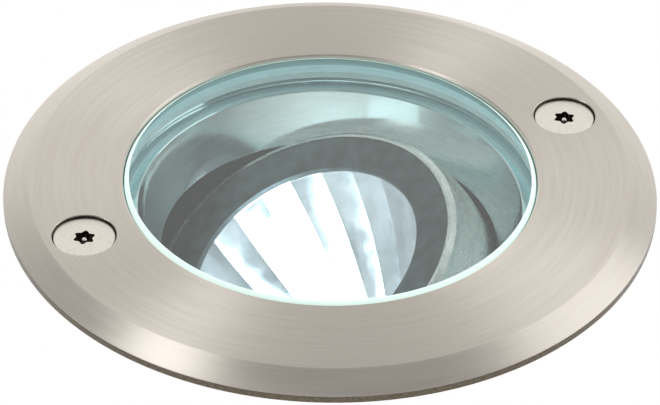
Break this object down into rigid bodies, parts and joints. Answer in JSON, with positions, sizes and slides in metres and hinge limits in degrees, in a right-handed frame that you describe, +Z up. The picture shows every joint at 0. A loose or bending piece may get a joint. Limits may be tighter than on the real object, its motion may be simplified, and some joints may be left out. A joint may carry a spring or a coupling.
{
  "type": "in ground well light",
  "caption": "Round recessed ground light: flush glass in a bevelled stainless ring with security screws, a tilting lamp below, in a cast cup inside a ground sleeve.",
  "frame": {"origin": "on the light's axis at ground level, where the underside of the ring lies", "axes": "+Z up out of the ground, along the light's axis; X through the two ring screws; the lamp tilts about a line along Y and faces -X and up at rest"},
  "size_m": [0.11, 0.11, 0.1433],
  "materials": {
    "stainless_brushed": "circular brushed stainless steel",
    "stainless_screw": "satin stainless steel",
    "toughened_glass": "clear toughened glass, green-blue edge",
    "black_rubber": "moulded",
    "pale_silicone": "moulded pale silicone",
    "polished_aluminium": "spun and polished",
    "satin_aluminium": "satin",
    "dark_ring": "dark satin anodised",
    "cast_housing": "black powder coat over cast aluminium",
    "sleeve_plastic": "moulded grey",
    "zinc_steel": "zinc plated",
    "lamp_mirror": "faceted, aluminised",
    "lamp_glass": "clear",
    "white_ceramic": "unglazed",
    "nickel_brass": "nickel plated",
    "terminal_nylon": "moulded natural nylon",
    "insert_brass": "turned",
    "lead_white": "silicone insulation",
    "lead_earth": "green and yellow insulation",
    "gland_plastic": "moulded black nylon"
  },
  "bodies": {
    "fixture": {"bezel_ring": "stainless_brushed", "bezel_screws": "stainless_screw", "bezel_gasket": "black_rubber", "glass_lens": "toughened_glass", "glass_gasket": "pale_silicone", "reflector_liner": "polished_aluminium", "housing": "cast_housing", "ground_sleeve": "sleeve_plastic", "yoke_bracket": "zinc_steel", "yoke_screws": "zinc_steel", "terminal_block": "terminal_nylon", "terminal_inserts": "insert_brass", "terminal_screws": "zinc_steel", "terminal_fixing_screws": "zinc_steel", "earth_ring_terminal": "nickel_brass", "earth_screw": "zinc_steel", "earth_lead": "lead_earth", "lamp_leads": "lead_white", "gland_body": "gland_plastic", "gland_washer": "black_rubber", "gland_seal": "black_rubber", "gland_nut": "gland_plastic"},
    "lamp_head": {"lamp_cup": "satin_aluminium", "retaining_ring": "dark_ring", "lamp_reflector": "lamp_mirror", "lamp_front_glass": "lamp_glass", "lamp_base": "white_ceramic", "lamp_pins": "nickel_brass", "lamp_capsule": "lamp_glass", "lampholder": "white_ceramic", "holder_contacts": "nickel_brass", "pivot_screws": "zinc_steel", "friction_washers": "zinc_steel"}
  },
  "joints": [
    {"name": "lamp_tilt", "type": "hinge", "parent": "fixture", "child": "lamp_head", "pos_m": [0, 0, -0.02832], "axis": [0, 1, 0], "range_deg": [-1, 49], "deforming": ["lamp_leads"]}
  ]
}
